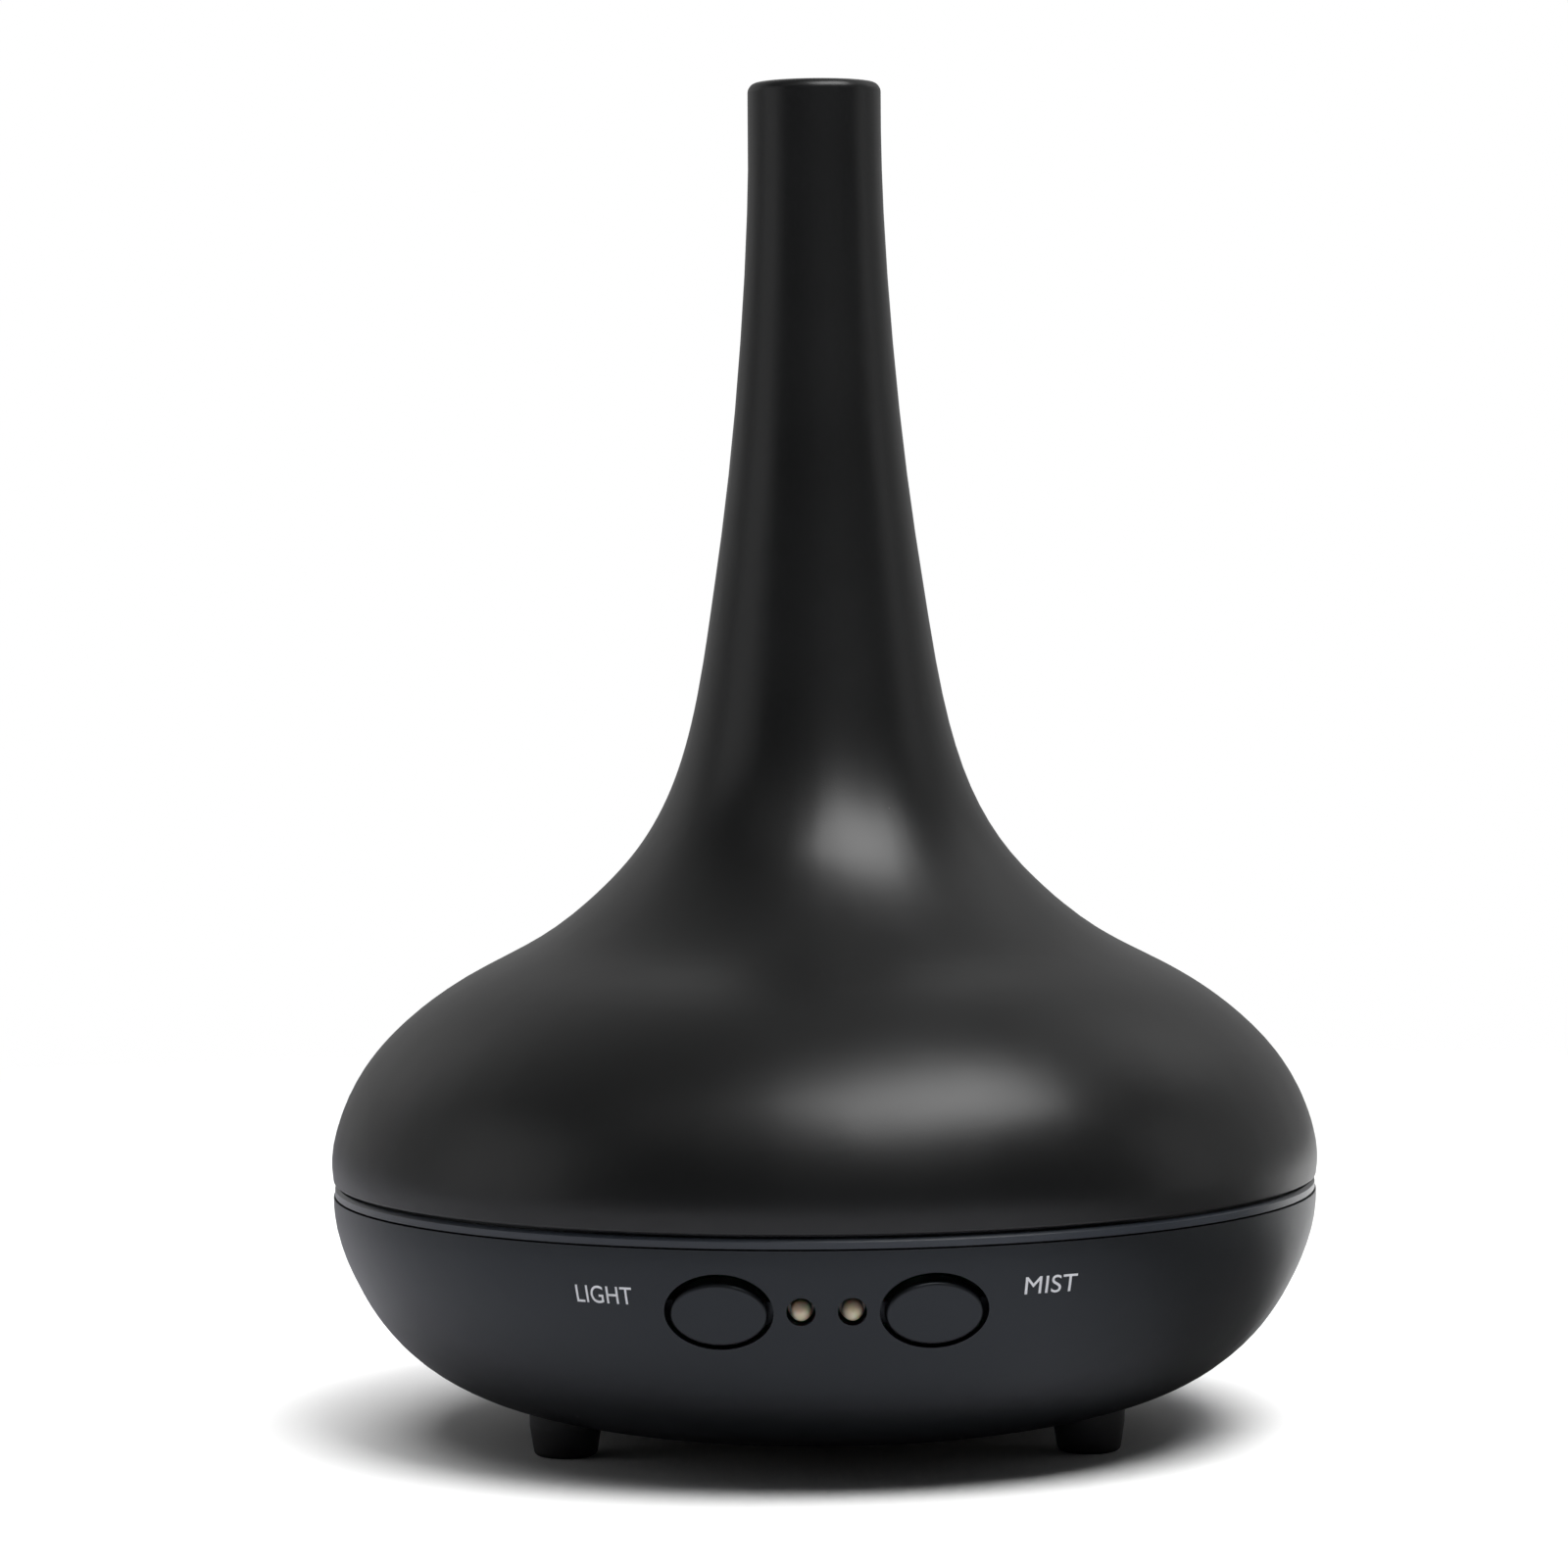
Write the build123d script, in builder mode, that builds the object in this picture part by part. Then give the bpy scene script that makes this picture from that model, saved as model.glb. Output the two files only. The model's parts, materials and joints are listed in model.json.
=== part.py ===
from build123d import *

import os
from math import cos, radians, sin, sqrt, tan

# Cool mist humidifier: a bottle-shaped cover that lifts off a bowl-shaped base.
# The base holds a water tank with an ultrasonic disc, a fan with its air duct,
# two push buttons with indicator lamps, and the electronics.
# Millimetres. The origin is on the floor under the middle, +Z is up and the
# buttons face -Y.

os.makedirs("parts", exist_ok=True)

# ---------------------------------------------------------------- main sizes
HEIGHT = 205.0
WALL = 2.2
FIT = 0.1  # gap between pieces that rest on each other
PCB = 1.6  # thickness of a circuit board

# Levels of the joint between the cover and the base
BOWL_TOP = 37.05
RING_BOTTOM = 37.3
RING_TOP = 38.7
COVER_EDGE = 39.2
FLANGE_TOP = 40.3

# Outer outlines, as (radius, height)
COVER_OUTLINE = [
    (74.75, COVER_EDGE),
    (75.0, 42.4),
    (73.7, 48.6),
    (70.0, 56.0),
    (63.7, 63.0),
    (53.75, 70.0),
    (42.5, 76.0),
    (34.7, 82.0),
    (28.1, 89.0),
    (23.35, 97.0),
    (19.9, 107.0),
    (16.65, 124.0),
    (13.8, 144.0),
    (11.35, 169.0),
    (10.25, 189.0),
    (10.1, HEIGHT - 1.6),  # the rounded lip starts here
]
BOWL_OUTLINE = [
    (74.8, BOWL_TOP),
    (74.3, 32.0),
    (71.7, 24.8),
    (67.4, 17.7),
    (60.5, 11.2),
    (53.9, 7.6),
    (45.7, 5.0),
    (37.0, 3.4),
    (30.0, 3.0),
]
BOWL_FLOOR = 3.0
FLOOR_TOP = BOWL_FLOOR + WALL

# The light ring between them, with a hidden rib that centres it in the cover
RING_OUTER = 74.6
RING_INNER = 70.4
RING_EDGE = 0.45  # its rounded-off upper edge
RING_RIB = (72.2, 72.65, 39.9)  # inner and outer radius and top
RIB_RELIEF = (70.0, 73.0, 1.2)  # the cover's groove over it: radii and depth
RING_STEP_R = 73.4  # the bowl's raised seat for the ring

# ------------------------------------------------------------------- controls
BUTTON_X = 15.1
BUTTON_Z = 28.1
BUTTON_HOLE = (15.4, 11.2)
BUTTON_CAP = (13.8, 9.3)
CAP_DROP = 0.4  # the cap hangs this much low in its hole
CAP_RECESS = 0.35
BUTTON_TRAVEL = 0.4
LAMP_X = 3.6
LAMP_Z = 28.3
LAMP_HOLE_R = 2.05
LAMP_R = 1.5

LEG_PITCH = 2.54  # between a lamp's two legs

# Holes for self-tapping screws
PILOT_R = 0.95
CLEAR_R = 1.15

# ---------------------------------------------------------------- inner layout
FEET_R = 45.0
FEET_ANGLES = {"foot_back": 90, "foot_front_left": 210, "foot_front_right": 330}
POST_R = 7.0
POST_TOP = 13.5  # the bowl's posts meet the tank's bosses here
SCREW_SEAT = 10.8

TANK_FLOOR = 20.0
TANK_UNDER = 18.0
TANK_R = 56.5
TANK_WALL = 2.0
TANK_CORNER = 8.0

FAN_X, FAN_Y = -30.0, 8.0
FAN_SIDE = 30.0
FAN_DEPTH = 7.0
FAN_Z = TANK_UNDER - FIT - FAN_DEPTH
FAN_PITCH = 24.0
ROTOR_R = 13.3
DUCT_SLOT = (20.0, 8.0)
DUCT_TOP = 47.0
DUCT_MOUTH_R = 13.4
INTAKE_R = 13.5
INTAKE_PITCH = 3.6
INTAKE_SLOT = 1.8

PIEZO_R = 10.0
PIEZO_T = 1.2
SEAL_R = 12.6
SEAL_BOTTOM = 14.9
CLAMP_T = 1.2
CLAMP_PITCH = 18.0

BOARD_X, BOARD_Y = 17.5, 6.0
BOARD_SIZE = (27.0, 44.0)
BOARD_Z = 7.2
BOARD_TOP = BOARD_Z + PCB
CONNECTOR = (6.0, 4.5, 4.2)

LED_RING_R = 27.0
LED_RING_WIDTH = 10.0
LED_RING_Z = 14.6
LED_RING_T = 1.2
LED_ANGLES = [-60, -36, -12, 12, 36, 60]
LED_SCREW_ANGLES = [-24, 48]

SWITCH_BOARD_Y = -59.0
SWITCH_BOARD = (50.0, 13.0)
SWITCH_BOARD_Z = 28.0
SWITCH_BODY = (6.0, 3.5)
STEM_R = 1.75
STEM_LENGTH = 1.5  # how far the stem stands out of the switch
STEM_HELD = 1.4  # and how far it reaches into it

JACK_Z = 22.0
JACK_FACE = 68.0
JACK_HOLE_R = 4.2

GUIDE_R = 49.0
GUIDE_Z = 68.0  # top of the mist guide's rim
GUIDE_BORE = 14.0
GUIDE_BOTTOM = 50.0
GUIDE_POST_R = 44.0

STANDING = (Align.CENTER, Align.CENTER, Align.MIN)


def save(name, piece):
    """Labels a finished piece and writes it as one STEP file."""
    piece.label = name
    export_step(piece, f"parts/{name}.step")


def inset(curve, distance, count):
    """Points that lie `distance` inside a curve that climbs round a body."""
    points = []
    for i in range(count):
        place, along = curve @ (i / (count - 1)), curve % (i / (count - 1))
        points.append((place.X - distance * along.Y, place.Y + distance * along.X))
    return points


def polar(radius, angle, height=0.0):
    """The point at a radius and an angle in degrees from +X."""
    return (radius * cos(radians(angle)), radius * sin(radians(angle)), height)


# ================================================================ the cover
def cover_side():
    """The cover's outer curve, from its lower edge up to the spout."""
    return Spline(*COVER_OUTLINE)


LIP_INNER = COVER_OUTLINE[-1][0] - 2.0
RIB_COUNT = 8
RIB_BOTTOM = FLANGE_TOP + FIT
RIB_HEIGHT = 4.0
RIB_PLACE_R = 72.4
RIB_SIZE = (3.0, 1.6)
GUIDE_POST_BORE = (1.15, 4.0)
LIP_ROUND = 1.5
GUIDE_POSTS = [polar(GUIDE_POST_R, a, GUIDE_Z) for a in (30, 150, 270)]


def cover_skin(depth):
    """Points that lie `depth` inside the cover's outer curve."""
    with BuildLine(mode=Mode.PRIVATE):
        outer = cover_side()
    points = inset(outer, depth, len(COVER_OUTLINE) + 6)
    return points[:-1] + [(COVER_OUTLINE[-1][0] - depth, COVER_OUTLINE[-1][1])]


with BuildPart() as cover_core:
    with BuildSketch(Plane.XZ):
        with BuildLine():
            middle = Spline(*cover_skin(WALL / 2))
            Polyline(middle @ 1, (0, (middle @ 1).Y), (0, (middle @ 0).Y), middle @ 0)
        make_face()
    revolve(axis=Axis.Z)

# Ribs that centre the cover and carry it on the tank's flange, and posts for
# the mist guide. All of them end inside the wall.
with BuildPart() as stay_blanks:
    with BuildSketch(Plane.XY.offset(RIB_BOTTOM)):
        with PolarLocations(RIB_PLACE_R, RIB_COUNT, start_angle=180 / RIB_COUNT):
            Rectangle(*RIB_SIZE)
    extrude(amount=RIB_HEIGHT)
    with BuildSketch(Plane.XY.offset(GUIDE_Z)):
        with Locations(*[(x, y) for x, y, _ in GUIDE_POSTS]):
            Circle(3.0)
    extrude(amount=9.0)
cover_stays = stay_blanks.part & cover_core.part

with BuildPart() as cover:
    # thin bottle-shaped wall
    with BuildSketch(Plane.XZ):
        with BuildLine():
            side = cover_side()
            inner = Spline(*cover_skin(WALL))
            Polyline(side @ 1, (COVER_OUTLINE[-1][0], HEIGHT), (LIP_INNER, HEIGHT), inner @ 1)
            Polyline(side @ 0, ((inner @ 0).X, COVER_EDGE), inner @ 0)
        make_face()
    revolve(axis=Axis.Z)
    # relief for the ring's hidden rib, just inside the lower edge
    with BuildSketch(Plane.XY.offset(COVER_EDGE)):
        Circle(RIB_RELIEF[1])
        Circle(RIB_RELIEF[0], mode=Mode.SUBTRACT)
    extrude(amount=RIB_RELIEF[2], mode=Mode.SUBTRACT)
    add(cover_stays)
    with Locations(*GUIDE_POSTS):
        Cylinder(*GUIDE_POST_BORE, align=STANDING, mode=Mode.SUBTRACT)
    lip = cover.edges().filter_by(GeomType.CIRCLE).group_by(Axis.Z)[-1].sort_by(SortBy.RADIUS)
    fillet(lip[-1], radius=LIP_ROUND)
    lip = cover.edges().filter_by(GeomType.CIRCLE).group_by(Axis.Z)[-1].sort_by(SortBy.RADIUS)
    fillet(lip[0], radius=RING_EDGE)
    hem = cover.edges().filter_by(GeomType.CIRCLE).group_by(Axis.Z)[0].sort_by(SortBy.RADIUS)
    fillet(hem[-1], radius=RING_EDGE)
save("cover", cover.part)

# Funnel plate that steers the mist into the neck and lets drops run back.
GUIDE_THICK = 1.6
GUIDE_FALL = 11.0
with BuildPart() as mist_guide:
    with BuildSketch(Plane.XZ):
        with BuildLine():
            low = GUIDE_Z - GUIDE_FALL
            Polyline(
                (GUIDE_BORE, GUIDE_BOTTOM),
                (GUIDE_BORE + GUIDE_THICK, GUIDE_BOTTOM),
                (GUIDE_BORE + GUIDE_THICK, low - GUIDE_THICK),
                (GUIDE_POST_R - 5, GUIDE_Z - FIT - GUIDE_THICK),
                (GUIDE_R, GUIDE_Z - FIT - GUIDE_THICK),
                (GUIDE_R, GUIDE_Z - FIT),
                (GUIDE_POST_R - 5, GUIDE_Z - FIT),
                (GUIDE_BORE, low),
                close=True,
            )
        make_face()
    revolve(axis=Axis.Z)
    with Locations(*GUIDE_POSTS):
        Cylinder(1.4, 8.0, mode=Mode.SUBTRACT)
    fillet(mist_guide.edges().filter_by(GeomType.CIRCLE).group_by(Axis.Z)[0], radius=0.5)
save("mist_guide", mist_guide.part)


def screws(places, head, shank, up=True):
    """Pan-head screws with their heads' seats at the places; head and shank are (radius, length)."""
    turn = 1 if up else -1
    with BuildPart() as group:
        with Locations(*[(x, y, z - turn * head[1] / 2) for x, y, z in places]):
            Cylinder(head[0], head[1])
        outer = group.faces().group_by(Axis.Z)[0 if up else -1]
        fillet(outer.edges(), radius=min(0.5, head[1] * 0.35))
        with Locations(*[(x, y, z + turn * shank[1] / 2) for x, y, z in places]):
            Cylinder(shank[0], shank[1])
        slot = head[0] * 1.1
        with Locations(*[(x, y, z - turn * head[1]) for x, y, z in places]):
            Box(slot, slot * 0.24, head[1], mode=Mode.SUBTRACT)
            Box(slot * 0.24, slot, head[1], mode=Mode.SUBTRACT)
    return group.part


guide_seats = [(x, y, z - FIT - GUIDE_THICK) for x, y, z in GUIDE_POSTS]
save("guide_screws", screws(guide_seats, head=(2.4, 1.5), shank=(1.1, 5.2)))

# ================================================================= the bowl
SOCKET_R = 5.55
SOCKET_TOP = 6.5
COUNTERBORE_R = 3.5
SCREW_R = 1.5
FEET = {name: polar(FEET_R, angle) for name, angle in FEET_ANGLES.items()}
BOARD_PEGS = [
    (BOARD_X + sx * (BOARD_SIZE[0] / 2 - 3), BOARD_Y + sy * (BOARD_SIZE[1] / 2 - 3))
    for sx in (-1, 1)
    for sy in (-1, 1)
]
SWITCH_PEGS = [(-22.0, 32.2), (22.0, 32.2)]
SWITCH_PEG_R = 2.3
BOARD_PEG_R = 2.4
CRADLE_X = 5.4  # the power socket's cradle walls stand this far each side


def bowl_side():
    """The bowl's outer curve, from its flat underside up to its rim."""
    return Spline(*reversed(BOWL_OUTLINE))


with BuildPart() as bowl_blank:
    with BuildSketch(Plane.XZ):
        with BuildLine():
            side = bowl_side()
            Polyline(side @ 1, (0, BOWL_TOP), (0, BOWL_FLOOR), side @ 0)
        make_face()
    revolve(axis=Axis.Z)
    # step that carries the light ring
    with BuildSketch(Plane.XY.offset(BOWL_TOP)):
        Circle(RING_STEP_R)
    extrude(amount=RING_BOTTOM - BOWL_TOP)

with BuildPart() as base_shell:
    add(bowl_blank.part)
    with BuildSketch(Plane.XZ):
        with BuildLine(mode=Mode.PRIVATE):
            inner_points = inset(bowl_side(), WALL, len(BOWL_OUTLINE) + 4)
        with BuildLine():
            inner = Spline(*inner_points)
            Polyline(inner @ 1, (inner_points[-1][0], RING_TOP), (0, RING_TOP), (0, FLOOR_TOP), inner @ 0)
        make_face()
    revolve(axis=Axis.Z, mode=Mode.SUBTRACT)
    # posts over the feet, standoffs for the main board
    with BuildSketch(Plane.XY.offset(BOWL_FLOOR)):
        with Locations(*[(x, y) for x, y, _ in FEET.values()]):
            Circle(POST_R)
    extrude(amount=POST_TOP - BOWL_FLOOR)
    with BuildSketch(Plane.XY.offset(BOWL_FLOOR)):
        with Locations(*BOARD_PEGS):
            Circle(BOARD_PEG_R)
    extrude(amount=BOARD_Z - BOWL_FLOOR)
    # pegs for the switch board, out of the front wall
    with BuildSketch(Plane.XZ.offset(-SWITCH_BOARD_Y)):
        with Locations(*SWITCH_PEGS):
            Circle(SWITCH_PEG_R)
    extrude(amount=14.0)
    # cradle for the power socket, in the back wall
    with BuildSketch(Plane.XY.offset(11.0)):
        with Locations((-CRADLE_X, 63.2), (CRADLE_X, 63.2)):
            Rectangle(1.4, 7.0)
    extrude(amount=11.0)
    add(bowl_blank.part, mode=Mode.INTERSECT)
    # feet sockets with their screw holes
    for x, y, _ in FEET.values():
        with Locations((x, y, 0)):
            Cylinder(SOCKET_R, SOCKET_TOP, align=STANDING, mode=Mode.SUBTRACT)
            Cylinder(COUNTERBORE_R, SCREW_SEAT, align=STANDING, mode=Mode.SUBTRACT)
            Cylinder(SCREW_R + 0.2, 2 * POST_TOP, mode=Mode.SUBTRACT)
    with Locations(*[(x, y, BOARD_Z) for x, y in BOARD_PEGS]):
        Cylinder(PILOT_R, 5.0, mode=Mode.SUBTRACT)
    with BuildSketch(Plane.XZ.offset(-SWITCH_BOARD_Y)):
        with Locations(*SWITCH_PEGS):
            Circle(PILOT_R)
    extrude(amount=6.0, mode=Mode.SUBTRACT)
    # button and lamp holes through the front wall
    with BuildSketch(Plane.XZ.offset(60.0)):
        with Locations((-BUTTON_X, BUTTON_Z), (BUTTON_X, BUTTON_Z)):
            Ellipse(BUTTON_HOLE[0] / 2, BUTTON_HOLE[1] / 2)
        with Locations((-LAMP_X, LAMP_Z), (LAMP_X, LAMP_Z)):
            Circle(LAMP_HOLE_R)
    extrude(amount=20.0, mode=Mode.SUBTRACT)
    # power socket hole in the back wall
    with BuildSketch(Plane.XZ.offset(-62.0)):
        with Locations((0, JACK_Z)):
            Circle(JACK_HOLE_R)
    extrude(amount=-20.0, mode=Mode.SUBTRACT)
    # air intake slots under the fan
    with BuildSketch(Plane.XY):
        for i in range(-3, 4):
            across = i * INTAKE_PITCH
            with Locations((FAN_X + 1 + across, FAN_Y)):
                SlotOverall(2 * sqrt(INTAKE_R**2 - across**2), INTAKE_SLOT, rotation=90)
    extrude(amount=10.0, mode=Mode.SUBTRACT)
save("base_shell", base_shell.part)

with BuildPart() as light_ring:
    with BuildSketch(Plane.XZ):
        with BuildLine():
            Polyline(
                (RING_INNER, RING_BOTTOM),
                (RING_OUTER, RING_BOTTOM),
                (RING_OUTER, RING_TOP - RING_EDGE),
                (RING_OUTER - RING_EDGE, RING_TOP),
                (RING_RIB[1], RING_TOP),
                (RING_RIB[1], RING_RIB[2]),
                (RING_RIB[0], RING_RIB[2]),
                (RING_RIB[0], RING_TOP),
                (RING_INNER, RING_TOP),
                close=True,
            )
        make_face()
    revolve(axis=Axis.Z)
save("light_ring", light_ring.part)

# ================================================================ water tank
WELL_R = 8.7
COLLAR_R = 14.5
FLANGE_R = 72.0
TANK_LIP = (68.4, 70.0, 44.0)  # inner and outer radius and top of the rim's lip
PEDESTAL_TOP = 25.0
TANK_BEND = 35.6  # the basin's straight wall ends here and slopes out to the flange
CLAMP_HOLES = [(0.0, -CLAMP_PITCH), (0.0, CLAMP_PITCH)]
FAN_SCREWS = [(FAN_X + side * FAN_PITCH / 2, FAN_Y + side * FAN_PITCH / 2) for side in (-1, 1)]
LED_SCREWS = [polar(LED_RING_R, a) for a in LED_SCREW_ANGLES]

with BuildPart() as water_tank:
    with BuildSketch(Plane.XZ):
        with BuildLine():
            bend = TANK_R - TANK_CORNER
            under = Line((WELL_R, TANK_UNDER), (bend, TANK_UNDER))
            low_bend = TangentArc(under @ 1, (TANK_R, TANK_UNDER + TANK_CORNER), tangent=under % 1)
            Polyline(
                low_bend @ 1,
                (TANK_R, TANK_BEND),
                (61.0, RING_TOP),
                (FLANGE_R, RING_TOP),
                (FLANGE_R, FLANGE_TOP),
                (TANK_LIP[1], FLANGE_TOP),
                (TANK_LIP[1], TANK_LIP[2]),
                (TANK_LIP[0], TANK_LIP[2]),
                (TANK_LIP[0], FLANGE_TOP),
                (60.2, FLANGE_TOP),
                (TANK_R - TANK_WALL, TANK_BEND),
                (TANK_R - TANK_WALL, TANK_UNDER + TANK_CORNER),
            )
            floor = Line((WELL_R, TANK_FLOOR), (bend, TANK_FLOOR))
            TangentArc(floor @ 1, (TANK_R - TANK_WALL, TANK_UNDER + TANK_CORNER), tangent=floor % 1)
            Line(floor @ 0, under @ 0)
        make_face()
    revolve(axis=Axis.Z)
    # collar round the ultrasonic disc's seal, with bosses for its clamp
    with BuildSketch(Plane.XY.offset(SEAL_BOTTOM + FIT)):
        Circle(COLLAR_R)
        with Locations(*CLAMP_HOLES):
            Circle(3.4)
        Circle(SEAL_R + 0.15, mode=Mode.SUBTRACT)
    extrude(amount=TANK_UNDER - SEAL_BOTTOM - FIT)
    # bosses over the bowl's posts and for the lamp board
    with BuildSketch(Plane.XY.offset(POST_TOP + FIT)):
        with Locations(*[(x, y) for x, y, _ in FEET.values()]):
            Circle(3.6)
    extrude(amount=TANK_UNDER - POST_TOP - FIT)
    with BuildSketch(Plane.XY.offset(LED_RING_Z + LED_RING_T)):
        with Locations(*[(x, y) for x, y, _ in LED_SCREWS]):
            Circle(2.2)
    extrude(amount=TANK_UNDER - LED_RING_Z - LED_RING_T)
    # pedestal and chimney of the air duct
    with BuildSketch(Plane.XY.offset(TANK_UNDER)):
        with Locations((FAN_X, FAN_Y)):
            RectangleRounded(FAN_SIDE + 1.0, FAN_SIDE + 1.0, 3.5)
    extrude(amount=PEDESTAL_TOP - TANK_UNDER)
    with BuildSketch(Plane.XY.offset(PEDESTAL_TOP)):
        with Locations((FAN_X, FAN_Y)):
            SlotOverall(DUCT_SLOT[0] + 4, DUCT_SLOT[1] + 4, rotation=90)
    extrude(amount=DUCT_TOP - PEDESTAL_TOP, taper=1.0)
    # the duct narrows from the fan's round mouth to the chimney's slot
    with BuildSketch(Plane.XY.offset(TANK_UNDER - 1)):
        with Locations((FAN_X, FAN_Y)):
            Circle(DUCT_MOUTH_R)
    with BuildSketch(Plane.XY.offset(TANK_UNDER + 6)):
        with Locations((FAN_X, FAN_Y)):
            Ellipse(DUCT_SLOT[1] / 2, DUCT_SLOT[0] / 2)
    loft(mode=Mode.SUBTRACT)
    with BuildSketch(Plane.XY.offset(TANK_UNDER + 5.5)):
        with Locations((FAN_X, FAN_Y)):
            SlotOverall(DUCT_SLOT[0], DUCT_SLOT[1], rotation=90)
    extrude(amount=DUCT_TOP, mode=Mode.SUBTRACT)
    # pilot holes, all from below
    for places, radius, depth, height in (
        ([(x, y) for x, y, _ in FEET.values()], SCREW_R + 0.05, POST_TOP, TANK_FLOOR - 1.2),
        (CLAMP_HOLES, 1.05, SEAL_BOTTOM, TANK_FLOOR - 2.0),
        ([(x, y) for x, y, _ in LED_SCREWS], 1.05, LED_RING_Z, TANK_FLOOR - 1.6),
        (FAN_SCREWS, 1.3, TANK_UNDER - 1, PEDESTAL_TOP - 2.0),
    ):
        with BuildSketch(Plane.XY.offset(depth)):
            with Locations(*places):
                Circle(radius)
        extrude(amount=height - depth, mode=Mode.SUBTRACT)
save("water_tank", water_tank.part)

# Roof that keeps drops out of the air duct; its two legs plug into the chimney.
HOOD_GAP = 5.0
with BuildPart() as duct_hood:
    with BuildSketch(Plane.XY.offset(DUCT_TOP + HOOD_GAP)):
        with Locations((FAN_X, FAN_Y)):
            SlotOverall(DUCT_SLOT[0] + 7, DUCT_SLOT[1] + 7, rotation=90)
    extrude(amount=1.6)
    fillet(duct_hood.faces().sort_by(Axis.Z)[-1].edges(), radius=0.8)
    with BuildSketch(Plane.XY.offset(DUCT_TOP - 4)):
        with Locations((FAN_X, FAN_Y)):
            SlotOverall(DUCT_SLOT[0] - 2 * FIT, DUCT_SLOT[1] - 2 * FIT, rotation=90)
            Rectangle(DUCT_SLOT[1], DUCT_SLOT[0] - 4.5, mode=Mode.SUBTRACT)
    extrude(amount=4 + HOOD_GAP)
save("duct_hood", duct_hood.part)

# ========================================================== ultrasonic disc
DISC_Z = SEAL_BOTTOM + 1.0
with BuildPart() as piezo_disc:
    with Locations((0, 0, DISC_Z)):
        Cylinder(PIEZO_R, PIEZO_T, align=STANDING)
    fillet(piezo_disc.edges(), radius=0.2)
save("piezo_disc", piezo_disc.part)

with BuildPart() as piezo_seal:
    with BuildSketch(Plane.XZ):
        with BuildLine():
            Polyline(
                (8.4, SEAL_BOTTOM),
                (SEAL_R, SEAL_BOTTOM),
                (SEAL_R, TANK_UNDER),
                (8.8, TANK_UNDER),
                (8.8, DISC_Z + PIEZO_T),
                (PIEZO_R, DISC_Z + PIEZO_T),
                (PIEZO_R, DISC_Z),
                (8.4, DISC_Z),
                close=True,
            )
        make_face()
    revolve(axis=Axis.Z)
save("piezo_seal", piezo_seal.part)

with BuildPart() as piezo_clamp:
    with BuildSketch(Plane.XY.offset(SEAL_BOTTOM - CLAMP_T)):
        Circle(COLLAR_R - 0.5)
        SlotOverall(2 * CLAMP_PITCH + 7, 7, rotation=90)
        Circle(7.0, mode=Mode.SUBTRACT)
        with Locations(*CLAMP_HOLES):
            Circle(CLEAR_R, mode=Mode.SUBTRACT)
    extrude(amount=CLAMP_T)
save("piezo_clamp", piezo_clamp.part)
clamp_seats = [(x, y, SEAL_BOTTOM - CLAMP_T) for x, y in CLAMP_HOLES]
save("clamp_screws", screws(clamp_seats, head=(2.1, 1.5), shank=(1.0, 4.0)))

# ====================================================================== fan
HUB_R = 7.0
PLATE_T = 1.2  # the motor plate
SLEEVE_R = 1.7  # bore of the bearing's sleeve
FAN_BORE = 14.0
AXLE_R = 0.75
fan_plane = Plane(origin=(FAN_X, FAN_Y, FAN_Z))

with BuildPart() as fan_frame:
    with BuildSketch(fan_plane):
        RectangleRounded(FAN_SIDE, FAN_SIDE, 3.0)
        Circle(FAN_BORE, mode=Mode.SUBTRACT)
        with GridLocations(FAN_PITCH, FAN_PITCH, 2, 2):
            Circle(1.5, mode=Mode.SUBTRACT)
    extrude(amount=FAN_DEPTH)
    # motor plate on three struts, with the bearing's sleeve
    with BuildSketch(fan_plane):
        Circle(HUB_R)
        with PolarLocations(FAN_BORE / 2 + 3.6, 3, start_angle=30):
            Rectangle(FAN_BORE - HUB_R + 1, 1.8)
        Circle(SLEEVE_R, mode=Mode.SUBTRACT)
    extrude(amount=PLATE_T)
    with BuildSketch(fan_plane.offset(PLATE_T)):
        Circle(2.4)
        Circle(SLEEVE_R, mode=Mode.SUBTRACT)
    extrude(amount=2.6)
save("fan_frame", fan_frame.part)

with BuildPart() as fan_bearing:
    with BuildSketch(fan_plane.offset(0.2)):
        Circle(1.65)
        Circle(AXLE_R + 0.04, mode=Mode.SUBTRACT)
    extrude(amount=3.6)
save("fan_bearing", fan_bearing.part)

with BuildPart() as fan_coil:
    with BuildSketch(fan_plane.offset(1.3)):
        Circle(5.2)
        Circle(2.5, mode=Mode.SUBTRACT)
        with PolarLocations(5.2, 4, start_angle=45):
            Rectangle(2.2, 1.1, mode=Mode.SUBTRACT)
    extrude(amount=2.2)
save("fan_coil", fan_coil.part)

BLADE_COUNT = 7
ROTOR_BOTTOM = 1.7
ROTOR_TOP = 6.5
with BuildPart() as fan_impeller:
    with BuildSketch(fan_plane.offset(ROTOR_BOTTOM)):
        Circle(HUB_R)
    extrude(amount=ROTOR_TOP - ROTOR_BOTTOM)
    fillet(fan_impeller.faces().sort_by(Axis.Z)[-1].edges(), radius=0.8)
    with Locations((FAN_X, FAN_Y, FAN_Z + (ROTOR_BOTTOM + ROTOR_TOP) / 2)):
        with PolarLocations(10.2, BLADE_COUNT):
            Box(7.6, 0.9, 5.4, rotation=(38, 0, 0))
    with BuildSketch(fan_plane.offset(ROTOR_BOTTOM)):
        Circle(ROTOR_R)
    extrude(amount=ROTOR_TOP - ROTOR_BOTTOM, mode=Mode.INTERSECT)
    with BuildSketch(fan_plane.offset(ROTOR_BOTTOM)):
        Circle(5.9)
    extrude(amount=2.9, mode=Mode.SUBTRACT)
    with BuildSketch(fan_plane.offset(ROTOR_BOTTOM)):
        Circle(AXLE_R)
    extrude(amount=3.9, mode=Mode.SUBTRACT)
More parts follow.
